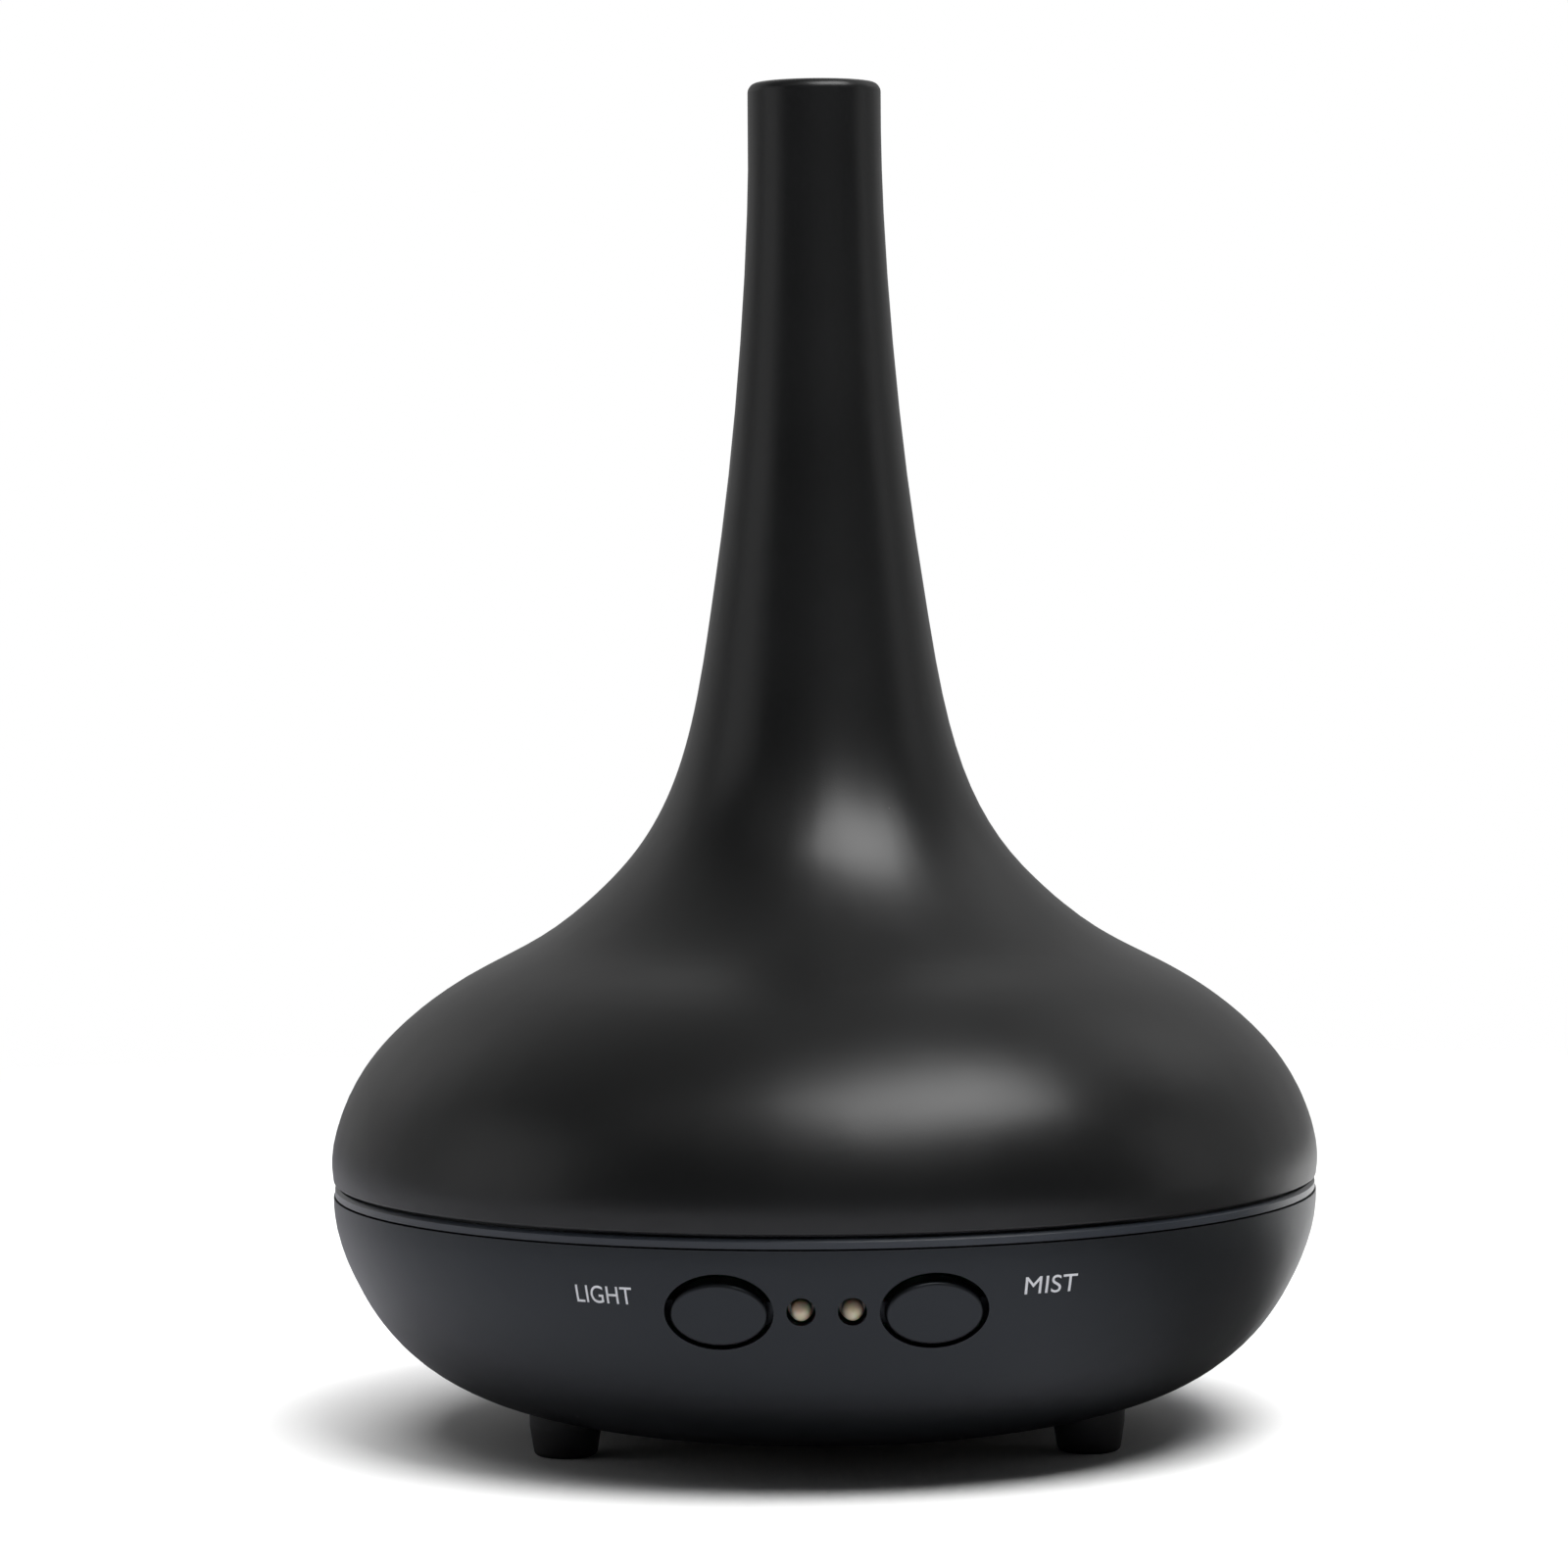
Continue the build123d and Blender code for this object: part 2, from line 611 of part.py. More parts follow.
save("fan_impeller", fan_impeller.part)

with BuildPart() as fan_axle:
    with BuildSketch(fan_plane.offset(0.4)):
        Circle(AXLE_R)
    extrude(amount=5.2)
save("fan_axle", fan_axle.part)
fan_seats = [(x, y, FAN_Z) for x, y in FAN_SCREWS]
save("fan_screws", screws(fan_seats, head=(2.4, 1.6), shank=(1.25, 11.0)))

# ============================================================== lamp board
with BuildPart() as led_board:
    with BuildSketch(Plane.XY.offset(LED_RING_Z)):
        with BuildLine(mode=Mode.PRIVATE):
            middle = CenterArc((0, 0), LED_RING_R, -70, 140)
        SlotArc(middle, LED_RING_WIDTH)
        with Locations(*[(x, y) for x, y, _ in LED_SCREWS]):
            Circle(CLEAR_R, mode=Mode.SUBTRACT)
    extrude(amount=LED_RING_T)
save("led_board", led_board.part)

with BuildPart() as colour_leds:
    for angle in LED_ANGLES:
        with Locations(Location(polar(LED_RING_R, angle, LED_RING_Z + LED_RING_T + 0.8), (0, 0, angle))):
            Box(5.0, 5.0, 1.6)
        with Locations(polar(LED_RING_R, angle, LED_RING_Z + LED_RING_T + 1.6)):
            Cylinder(2.0, 0.4, mode=Mode.SUBTRACT)
save("colour_leds", colour_leds.part)
led_seats = [(x, y, LED_RING_Z) for x, y, _ in LED_SCREWS]
save("led_screws", screws(led_seats, head=(1.9, 1.2), shank=(1.0, 3.0)))

# ============================================================== main board
with BuildPart() as main_board:
    with BuildSketch(Plane.XY.offset(BOARD_Z)):
        with Locations((BOARD_X, BOARD_Y)):
            RectangleRounded(*BOARD_SIZE, 1.5)
        with Locations(*BOARD_PEGS):
            Circle(CLEAR_R, mode=Mode.SUBTRACT)
    extrude(amount=PCB)
save("main_board", main_board.part)
board_seats = [(x, y, BOARD_TOP) for x, y in BOARD_PEGS]
save("board_screws", screws(board_seats, head=(2.0, 1.3), shank=(0.9, 3.6), up=False))

COIL_PLACE = (24.0, 16.5)
COIL_STEPS = [(0.0, 4.8, 0.9), (0.9, 3.9, 3.4), (4.3, 4.8, 0.9)]  # bottom, radius, thickness
with BuildPart() as coil:
    for bottom, radius, thick in COIL_STEPS:
        with BuildSketch(Plane(origin=(*COIL_PLACE, BOARD_TOP + bottom))):
            Circle(radius)
        extrude(amount=thick)
save("drive_coil", coil.part)

CANS = [(19.5, -8.0, 2.5), (26.5, -6.5, 2.5), (13.0, 19.0, 2.0)]  # x, y, radius
with BuildPart() as capacitors:
    for x, y, radius in CANS:
        with Locations((x, y, BOARD_TOP)):
            Cylinder(radius, 5.0, align=STANDING)
    fillet(capacitors.faces().group_by(Axis.Z)[-1].edges(), radius=0.4)
save("capacitors", capacitors.part)

SINK_PLACE = (25.6, 5.0)
SINK_SIZE = (10.0, 9.0, 1.2)
TRANSISTOR = (6.6, 6.2, 1.6)
with BuildPart() as heat_sink:
    with Locations((*SINK_PLACE, BOARD_TOP + TRANSISTOR[2])):
        Box(*SINK_SIZE, align=STANDING)
    with Locations((*SINK_PLACE, BOARD_TOP + TRANSISTOR[2] + SINK_SIZE[2])):
        with GridLocations(2.2, 1, 5, 1):
            Box(0.9, SINK_SIZE[1], 2.2, align=STANDING)
save("heat_sink", heat_sink.part)

with BuildPart() as drive_transistor:
    with Locations((*SINK_PLACE, BOARD_TOP)):
        Box(*TRANSISTOR, align=STANDING)
save("drive_transistor", drive_transistor.part)

CHIP_PLACE = (14.0, 4.0)
with BuildPart() as control_chip:
    with Locations((*CHIP_PLACE, BOARD_TOP + 0.2)):
        Box(3.9, 9.9, 1.4, align=STANDING)
    with Locations((*CHIP_PLACE, BOARD_TOP)):
        with GridLocations(5.0, 1.27, 2, 7):
            Box(1.2, 0.42, 0.7, align=STANDING)
save("control_chip", control_chip.part)

# White headers that the leads plug into: (middle x, middle y, turned)
HEADERS = {
    "fan": (8.3, 6.5, True),
    "piezo": (8.3, -7.0, True),
    "switch": (15.0, -13.2, False),
    "led": (22.3, -13.2, False),
    "power": (14.0, 25.6, False),
}
with BuildPart() as lead_headers:
    for x, y, turned in HEADERS.values():
        with Locations(Location((x, y, BOARD_TOP), (0, 0, 90 if turned else 0))):
            Box(*CONNECTOR, align=STANDING)
    fillet(lead_headers.edges().filter_by(Axis.Z), radius=0.4)
save("lead_headers", lead_headers.part)

# ======================================================= switches and lamps
SWITCH_Z = BUTTON_Z - CAP_DROP
SWITCH_FRONT = SWITCH_BOARD_Y - SWITCH_BODY[1]
LAMP_TIP = -72.7
LAMP_BACK = -67.0

with BuildPart() as switch_board:
    with BuildSketch(Plane.XZ.offset(-SWITCH_BOARD_Y)):
        with Locations((0, SWITCH_BOARD_Z)):
            RectangleRounded(*SWITCH_BOARD, 1.5)
        with Locations(*SWITCH_PEGS):
            Circle(CLEAR_R, mode=Mode.SUBTRACT)
        for side in (-1, 1):
            legs = [(side * LAMP_X + half * LEG_PITCH / 2, LAMP_Z) for half in (-1, 1)]
            with Locations(*legs):
                Circle(0.45, mode=Mode.SUBTRACT)
    extrude(amount=-PCB)
save("switch_board", switch_board.part)

with BuildPart() as switch_board_screws:
    back = SWITCH_BOARD_Y + PCB
    with BuildSketch(Plane.XZ.offset(-back)):
        with Locations(*SWITCH_PEGS):
            Circle(1.8)
    extrude(amount=-1.0)
    with BuildSketch(Plane.XZ.offset(-back)):
        with Locations(*SWITCH_PEGS):
            Circle(0.9)
    extrude(amount=PCB + 3.6)
save("switch_board_screws", switch_board_screws.part)


def switch_body(x):
    """A square push switch's housing, open at the front for its stem."""
    with BuildPart() as body:
        with BuildSketch(Plane.XZ.offset(-SWITCH_BOARD_Y)):
            with Locations((x, SWITCH_Z)):
                RectangleRounded(SWITCH_BODY[0], SWITCH_BODY[0], 0.4)
        extrude(amount=SWITCH_BODY[1])
        with BuildSketch(Plane.XZ.offset(-SWITCH_FRONT)):
            with Locations((x, SWITCH_Z)):
                Circle(STEM_R + 0.1)
        extrude(amount=-(STEM_HELD + BUTTON_TRAVEL + 0.6), mode=Mode.SUBTRACT)
    return body.part


def switch_stem(x):
    """The switch's round plunger, which the button pushes in."""
    with BuildPart() as stem:
        with BuildSketch(Plane.XZ.offset(-SWITCH_FRONT - STEM_HELD)):
            with Locations((x, SWITCH_Z)):
                Circle(STEM_R)
        extrude(amount=STEM_HELD + STEM_LENGTH)
        fillet(stem.faces().sort_by(Axis.Y)[0].edges(), radius=0.25)
    return stem.part


def indicator(x):
    """A 3 mm lamp with its collar and two legs that pass through the board."""
    with BuildPart() as lamp:
        with BuildSketch(Plane.YZ.offset(x)):
            with BuildLine():
                tip = LAMP_TIP + LAMP_R
                RadiusArc((LAMP_TIP, LAMP_Z), (tip, LAMP_Z + LAMP_R), LAMP_R)
                Polyline(
                    (tip, LAMP_Z + LAMP_R),
                    (LAMP_BACK - 1, LAMP_Z + LAMP_R),
                    (LAMP_BACK - 1, LAMP_Z + LAMP_R + 0.35),
                    (LAMP_BACK, LAMP_Z + LAMP_R + 0.35),
                    (LAMP_BACK, LAMP_Z),
                    (LAMP_TIP, LAMP_Z),
                )
            make_face()
        revolve(axis=Axis((x, 0, LAMP_Z), (0, 1, 0)))
        with BuildSketch(Plane.XZ.offset(-LAMP_BACK)):
            with Locations((x - LEG_PITCH / 2, LAMP_Z), (x + LEG_PITCH / 2, LAMP_Z)):
                Rectangle(0.5, 0.5)
        extrude(amount=-(SWITCH_BOARD_Y + PCB - LAMP_BACK))
    return lamp.part


# The cap's face follows the bowl, set in a little. Its ears lie behind the
# bowl's wall, and a boss in its hollow back rests on the switch's stem.
EAR_GAP = 0.4
EAR_T = 1.1
SKIRT_Y = -65.4
CAP_WALL = 1.3


def behind_wall(depth):
    """The bowl's outline as a full body, `depth` smaller all round."""
    with BuildPart() as body:
        with BuildSketch(Plane.XZ):
            with BuildLine(mode=Mode.PRIVATE):
                skin_points = inset(bowl_side(), depth, len(BOWL_OUTLINE) + 4)
            with BuildLine():
                skin = Spline(*skin_points)
                Polyline(skin @ 1, (0, skin_points[-1][1]), (0, skin_points[0][1]), skin @ 0)
            make_face()
        revolve(axis=Axis.Z)
    return body.part


cap_blank = behind_wall(CAP_RECESS)
ear_blank = behind_wall(WALL + EAR_GAP) - behind_wall(WALL + EAR_GAP + EAR_T)


def button(x):
    """A push button's moulded cap."""
    with BuildPart() as ears:
        with BuildSketch(Plane.XZ.offset(60.0)):
            with Locations((x, SWITCH_Z)):
                Rectangle(BUTTON_HOLE[0] + 2.2, 3.4)
                Ellipse(BUTTON_CAP[0] / 2 - CAP_WALL, BUTTON_CAP[1] / 2 - CAP_WALL, mode=Mode.SUBTRACT)
        extrude(amount=14.0)
        add(ear_blank, mode=Mode.INTERSECT)
    with BuildPart() as cap:
        with BuildSketch(Plane.XZ.offset(-SKIRT_Y)):
            with Locations((x, SWITCH_Z)):
                Ellipse(BUTTON_CAP[0] / 2, BUTTON_CAP[1] / 2)
        extrude(amount=14.0)
        add(cap_blank, mode=Mode.INTERSECT)
        fillet(cap.faces().sort_by(Axis.Y)[0].edges(), radius=0.55)
        with BuildSketch(Plane.XZ.offset(-SKIRT_Y)):
            with Locations((x, SWITCH_Z)):
                Ellipse(BUTTON_CAP[0] / 2 - CAP_WALL, BUTTON_CAP[1] / 2 - CAP_WALL)
        extrude(amount=1.8, mode=Mode.SUBTRACT)
        add(ears.part)
        with BuildSketch(Plane.XZ.offset(-SWITCH_FRONT + STEM_LENGTH + 0.05)):
            with Locations((x, SWITCH_Z)):
                Circle(2.2)
        extrude(amount=3.4)
    return cap.part


for name, side in (("light", -1), ("mist", 1)):
    save(f"{name}_switch_body", switch_body(side * BUTTON_X))
    save(f"{name}_switch_stem", switch_stem(side * BUTTON_X))
    save(f"{name}_indicator", indicator(side * LAMP_X))
    save(f"{name}_button", button(side * BUTTON_X))

# ============================================================ power socket
JACK_BACK = 57.2
JACK_SHOULDER = 63.8
JACK_BORE = 2.8
JACK_BODY = 9.0
PIN_R = 0.98
with BuildPart() as dc_socket:
    with BuildSketch(Plane.XZ.offset(-JACK_BACK)):
        with Locations((0, JACK_Z)):
            Rectangle(JACK_BODY, JACK_BODY)
    extrude(amount=-(JACK_SHOULDER - JACK_BACK))
    with BuildSketch(Plane.XZ.offset(-JACK_SHOULDER)):
        with Locations((0, JACK_Z)):
            Circle(4.0)
    extrude(amount=-(JACK_FACE - JACK_SHOULDER))
    with BuildSketch(Plane.XZ.offset(-JACK_FACE)):
        with Locations((0, JACK_Z)):
            Circle(JACK_BORE)
    extrude(amount=9.5, mode=Mode.SUBTRACT)
    with BuildSketch(Plane.XZ.offset(-JACK_BACK)):
        with Locations((0, JACK_Z)):
            Circle(PIN_R + 0.02)
    extrude(amount=-3.0, mode=Mode.SUBTRACT)
save("dc_socket", dc_socket.part)

with BuildPart() as dc_pin:
    with BuildSketch(Plane.XZ.offset(-JACK_BACK)):
        with Locations((0, JACK_Z)):
            Circle(PIN_R)
    extrude(amount=-(JACK_FACE - JACK_BACK - 0.6))
    fillet(dc_pin.faces().sort_by(Axis.Y)[-1].edges(), radius=0.4)
save("dc_pin", dc_pin.part)


# ===================================================================== feet
FOOT_SOLE_R = 4.65
FOOT_R = 5.4
FOOT_PLUG = (3.3, 8.2)  # radius and top


def foot(x, y):
    """A rubber foot: it tapers down, and its plug hides the screw above it."""
    with BuildPart() as pad:
        with BuildSketch(Plane.XZ):
            with BuildLine():
                Polyline(
                    (0, 0),
                    (FOOT_SOLE_R, 0),
                    (FOOT_R - 0.05, 4.4),
                    (FOOT_R, SOCKET_TOP - FIT),
                    (FOOT_PLUG[0], SOCKET_TOP - FIT),
                    FOOT_PLUG,
                    (0, FOOT_PLUG[1]),
                    close=True,
                )
            make_face()
        revolve(axis=Axis.Z)
        fillet(pad.faces().sort_by(Axis.Z)[0].edges(), radius=0.9)
    return pad.part.moved(Location((x, y, 0)))


for name, (x, y, _) in FEET.items():
    save(name, foot(x, y))
foot_seats = [(x, y, SCREW_SEAT) for x, y, _ in FEET.values()]
save("base_screws", screws(foot_seats, head=(3.0, 2.2), shank=(SCREW_R, 7.6)))


# ============================================================ inner leads
def lead(diameter, points):
    """A wire along straight runs, joined by arcs as large as the runs allow."""
    corners = []
    for before, corner, after in zip(points, points[1:], points[2:]):
        run_in, run_out = Vector(corner) - Vector(before), Vector(after) - Vector(corner)
        half_turn = radians(run_in.get_angle(run_out)) / 2
        corners.append(0.45 * min(run_in.length, run_out.length) / tan(half_turn))
    with BuildPart() as wire:
        with BuildLine() as route:
            FilletPolyline(*points, radius=corners)
        with BuildSketch(Plane(origin=route.line @ 0, z_dir=route.line % 0)):
            Circle(diameter / 2)
        sweep(path=route.line)
    print("lead", round(route.wires()[0].length, 1), "mm, radii", [round(r, 1) for r in corners])
    return wire.part


THIN_LEAD = 1.6
THICK_LEAD = 2.2
LEAD_Z = BOARD_TOP + 2.0
header_face = CONNECTOR[1] / 2
x, y, _ = HEADERS["fan"]
save("fan_lead", lead(THIN_LEAD, [
    (FAN_X + FAN_SIDE / 2, 0.5, FAN_Z + 2.0),
    (-11.5, 0.5, FAN_Z + 2.0),
    (-2.0, y, LEAD_Z),
    (x - header_face, y, LEAD_Z),
]))
x, y, _ = HEADERS["piezo"]
save("piezo_lead", lead(THIN_LEAD, [
    (0.0, -3.0, DISC_Z),
    (0.0, -3.0, 12.6),
    (1.8, y, LEAD_Z),
    (x - header_face, y, LEAD_Z),
]))
x, y, _ = HEADERS["led"]
save("led_lead", lead(THIN_LEAD, [
    (x, y - header_face, LEAD_Z),
    (x, -18.8, LEAD_Z),
    (x, -18.8, LED_RING_Z),
]))
x, y, _ = HEADERS["switch"]
save("switch_lead", lead(THICK_LEAD, [
    (4.0, SWITCH_BOARD_Y + PCB / 2, SWITCH_BOARD_Z - SWITCH_BOARD[1] / 2),
    (4.0, SWITCH_BOARD_Y + PCB / 2, 16.6),
    (6.0, -50.0, 12.2),
    (9.0, -37.0, 11.4),
    (x, -26.0, LEAD_Z),
    (x, y - header_face, LEAD_Z),
]))
x, y, _ = HEADERS["power"]
save("power_lead", lead(THICK_LEAD, [
    (2.0, 60.0, JACK_Z - 4.5),
    (2.0, 60.0, 15.4),
    (7.5, 54.5, 12.2),
    (12.5, 46.0, 11.4),
    (x, 36.5, LEAD_Z),
    (x, y + header_face, LEAD_Z),
]))
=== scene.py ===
"""Cool mist humidifier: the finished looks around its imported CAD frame.

A bottle-shaped cover stands on a bowl-shaped base. Both are satin black moulded
plastic, with a smoky light ring between them. The base holds the water tank, the
ultrasonic disc, the fan, the boards, two push buttons and two indicator lamps.
"""

import json

import bmesh
import bpy
from bpy.props import FloatProperty, FloatVectorProperty, PointerProperty
from math import cos, pi, radians, sin
from mathutils import Matrix, Vector
from mathutils.bvhtree import BVHTree


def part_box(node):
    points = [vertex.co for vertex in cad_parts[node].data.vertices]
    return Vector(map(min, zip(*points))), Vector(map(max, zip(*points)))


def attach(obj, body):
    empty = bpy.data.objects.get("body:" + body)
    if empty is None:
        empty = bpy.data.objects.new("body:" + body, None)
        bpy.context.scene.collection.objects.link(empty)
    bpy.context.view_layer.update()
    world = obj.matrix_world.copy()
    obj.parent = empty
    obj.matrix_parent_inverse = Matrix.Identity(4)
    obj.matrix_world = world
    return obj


bl_info = {
    "name": "Cool Mist Humidifier",
    "version": (1, 0, 0),
    "blender": (4, 5, 0),
    "location": "View3D > Sidebar > Humidifier",
    "description": "Builds the finished looks of a cool mist humidifier on its CAD frame",
    "category": "Object",
}

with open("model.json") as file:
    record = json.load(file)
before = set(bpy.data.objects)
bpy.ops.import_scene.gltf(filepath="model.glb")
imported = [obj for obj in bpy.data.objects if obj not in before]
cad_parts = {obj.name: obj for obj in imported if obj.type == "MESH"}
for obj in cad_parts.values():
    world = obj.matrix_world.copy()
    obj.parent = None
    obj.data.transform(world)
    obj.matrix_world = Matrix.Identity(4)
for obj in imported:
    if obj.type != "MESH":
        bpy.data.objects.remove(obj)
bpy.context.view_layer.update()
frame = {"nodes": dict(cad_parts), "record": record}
NODES = frame["nodes"]

BASE_BODY = "base"
CREASE = radians(32)  # edges sharper than this stay sharp

# Moulded plastic
CLOUD = 0.035  # size of the slow changes of gloss and tint
CLOUD_TINT = (0.88, 1.14)  # darkest and lightest tint, as shares of the colour
CLOUD_GLOSS = 0.04  # roughness goes this much up and down
DUST_PITCH = 0.0085  # distance between places where a speck may lie
DUST_EDGE = (0.012, 0.02)  # a speck's soft edge, in pitches from its middle
DUST_PATCH = 0.013  # size of the patches that hold specks
DUST_CHANCE = (0.56, 0.6)  # noise above these levels lets specks show

# Milky plastic and rubber
MILK_CLOUD = 0.02
MILK_TINT = (0.95, 1.04)
MILK_GRAIN = 0.0004

# Metal
MARK_TINT = (0.82, 1.1)
MARK_GLOSS = (-0.08, 0.1)  # roughness changes by this much between the marks
SKIN_RELIEF = 0.000004  # depth of the fine relief of metal and milky plastic

# Boards and windings
TRACK_GAP = 0.09  # width of the gap beside a track, as the brick texture counts it
TRACK_LENGTH = 1.3
TRACK_BREAK = (0.42, 0.5)  # noise between these levels breaks the tracks off
TRACK_BREAK_SIZE = 0.004
WEAVE = 0.0006  # size of the glass weave
BOARD_RELIEF = 0.00002
WIRE_TURNS = 1600.0  # close turns, as the wave texture counts them
WIRE_WOBBLE = 0.6
WIRE_SHADOW = 0.45  # colour between the turns, as a share of the wire's
WIRE_RELIEF = 0.00006

# Printed words
CAP_SHARE = 0.729  # height of a capital in the built-in font, as a share of its size
WORD_SPACE = 1.03  # spacing of the letters, where 1 is the font's own
WORD_BANDS = 5  # the letters are cut into this many bands, so that they follow the bowl
SAME_POINT = 0.000002  # corners closer than this are one
CUT_SLACK = 0.000001  # corners this close to a cut are on it
INK_PROUD = 0.25  # the ink's middle stands this share of its thickness outside the shell

# Stage
FLOOR_RADIUS = 1.6
FLOOR_SIDES = 96
FLOOR_WHITE = (0.80, 0.80, 0.80)
FLOOR_FADE = (0.25, 0.62)  # the floor runs out into the white backdrop between these radii
BOUNCE_FRONT = (0.29, 0.29, 0.31)  # painted shade in the floor's colour, as the object sees it: dim in front and on the left, darker on the right, a dark sector that stands in for a flag taking the light away, and lighter behind that sector the painted dark sector's two soft edges, in radians round from the front
BOUNCE_PAINTED_SHADE = (0.04, 0.04, 0.04)  # on the right, where a flag takes the light away,
BOUNCE_BACK = (0.66, 0.66, 0.66)  # and behind the flag
PAINTED_SHADE_FRONT_EDGE = (0.6, 1.2)  # the flag's two soft edges, in radians round from the front
PAINTED_SHADE_BACK_EDGE = (1.85, 2.2)
BACKDROP_SPAN = (-0.1, 0.6)  # Y of the directions between which the backdrop's glow grows
BACKDROP_GLOW = (0.02, 0.45)  # from the room in front to the white backdrop behind
LIGHT_AIM = (0.0, 0.0, 0.09)


# ------------------------------------------------------------------ materials
class Wiring:
    """A node tree, with short ways to add and join its nodes."""

    def __init__(self, tree):
        self.tree = tree

    def add(self, kind, **values):
        """A node with its sockets or settings set; underscores in a socket's name are spaces."""
        node = self.tree.nodes.new(kind)
        for key, value in values.items():
            socket = key.replace("_", " ")
            if socket in node.inputs:
                node.inputs[socket].default_value = value
            else:
                setattr(node, key, value)
        return node

    def join(self, output, target):
        self.tree.links.new(output, target)

    def math(self, operation, first, second):
        node = self.add("ShaderNodeMath", operation=operation)
        self.join(first, node.inputs[0])
        self.join(second, node.inputs[1])
        return node.outputs[0]

    def between(self, value, low, high, to_low=0.0, to_high=1.0):
        """A value carried over from one span to another, and held at the ends."""
        node = self.add("ShaderNodeMapRange")
        for socket, number in zip(node.inputs[1:5], (low, high, to_low, to_high)):
            socket.default_value = number
        self.join(value, node.inputs["Value"])
        return node.outputs["Result"]

    def mixed(self, amount, first, second):
        """A colour between two colours; each may be a colour or another node's output."""
        node = self.add("ShaderNodeMix", data_type="RGBA")
        self.join(amount, node.inputs["Factor"])
        for socket, value in zip((node.inputs[6], node.inputs[7]), (first, second)):
            if isinstance(value, tuple):
                socket.default_value = (*value, 1.0)
            else:
                self.join(value, socket)
        return node.outputs[2]

    def blend(self, amount, first, second, target):
        """Mixes two shaders into the tree's output."""
        node = self.add("ShaderNodeMixShader")
        self.join(amount, node.inputs["Fac"])
        self.join(first, node.inputs[1])
        self.join(second, node.inputs[2])
        self.join(node.outputs["Shader"], target)


class Recipe(Wiring):
    """A material, with short ways to add what most finishes need."""

    def __init__(self, name, color, roughness, metallic=0.0):
        self.material = bpy.data.materials.new(name)
        self.material.use_nodes = True
        self.material.diffuse_color = (*color, 1.0)
        super().__init__(self.material.node_tree)
        self.shader = self.tree.nodes["Principled BSDF"]
        self.shader.inputs["Base Color"].default_value = (*color, 1.0)
        self.shader.inputs["Roughness"].default_value = roughness
        self.shader.inputs["Metallic"].default_value = metallic
        self.place = self.add("ShaderNodeTexCoord").outputs["Object"]

    def stretched(self, scale):
        """Object coordinates scaled along each axis, for grain that runs one way."""
        mapping = self.add("ShaderNodeMapping", Scale=scale)
        self.join(self.place, mapping.inputs["Vector"])
        return mapping.outputs["Vector"]

    def noise(self, size, detail=2.0, place=None):
        """Noise whose lumps are about `size` metres across."""
        node = self.add("ShaderNodeTexNoise", Scale=1.0 / size, Detail=detail)
        self.join(place or self.place, node.inputs["Vector"])
        return node.outputs["Fac"]

    def cells(self, size):
        """Distance from the middle of the nearest of the cells about `size` metres across."""
        node = self.add("ShaderNodeTexVoronoi", Scale=1.0 / size)
        self.join(self.place, node.inputs["Vector"])
        return node.outputs["Distance"]

    def clouded(self, slow, color, tints):
        """A colour that drifts between two tints of itself, as the slow noise says."""
        dark, light = tints
        return self.mixed(self.between(slow, 0.3, 0.7), shade(color, dark), shade(color, light))

    def color(self, output):
        self.join(output, self.shader.inputs["Base Color"])

    def roughness(self, output):
        self.join(output, self.shader.inputs["Roughness"])

    def bump(self, height, depth):
        """Relief of `depth` metres."""
        node = self.add("ShaderNodeBump", Distance=depth)
        self.join(height, node.inputs["Height"])
        self.join(node.outputs["Normal"], self.shader.inputs["Normal"])


def shade(color, factor):
    """A colour made darker or lighter."""
    return tuple(min(1.0, part * factor) for part in color)


def moulded(name, color, roughness, grain=0.00022, relief=0.000006, dust=0.0):
    """Moulded plastic: fine spark-eroded grain, a slow change of gloss, and optional dust."""
    recipe = Recipe(name, color, roughness)
    slow = recipe.noise(CLOUD, detail=3.0)
    tint = recipe.clouded(slow, color, CLOUD_TINT)
    if dust:
        speck = recipe.between(recipe.cells(DUST_PITCH), *DUST_EDGE, 1.0, 0.0)
        patch = recipe.between(recipe.noise(DUST_PATCH), *DUST_CHANCE)
        tint = recipe.mixed(recipe.math("MULTIPLY", speck, patch), tint, (dust, dust, dust))
    recipe.color(tint)
    smoothest, roughest = roughness - CLOUD_GLOSS, roughness + CLOUD_GLOSS
    recipe.roughness(recipe.between(slow, 0.25, 0.75, smoothest, roughest))
    recipe.bump(recipe.noise(grain, detail=1.0), relief)
    return recipe


def milky(name, color, roughness, scatter, depth):
    """Translucent plastic or rubber that lets light in a little way."""
    recipe = Recipe(name, color, roughness)
    recipe.color(recipe.clouded(recipe.noise(MILK_CLOUD), color, MILK_TINT))
    recipe.shader.inputs["Subsurface Weight"].default_value = scatter
    recipe.shader.inputs["Subsurface Scale"].default_value = depth
    recipe.bump(recipe.noise(MILK_GRAIN), SKIN_RELIEF)
    return recipe


def metal(name, color, roughness, grain=(1.0, 1.0, 1.0), size=0.0004):
    """Metal with fine marks that run along the axis with the smallest grain number."""
    recipe = Recipe(name, color, roughness, metallic=1.0)
    marks = recipe.noise(size, detail=3.0, place=recipe.stretched(grain))
    dark, light = MARK_TINT
    recipe.color(recipe.mixed(marks, shade(color, dark), shade(color, light)))
    smoother, rougher = MARK_GLOSS
    recipe.roughness(recipe.between(marks, 0.3, 0.7, roughness + smoother, roughness + rougher))
    recipe.bump(marks, SKIN_RELIEF)
    return recipe


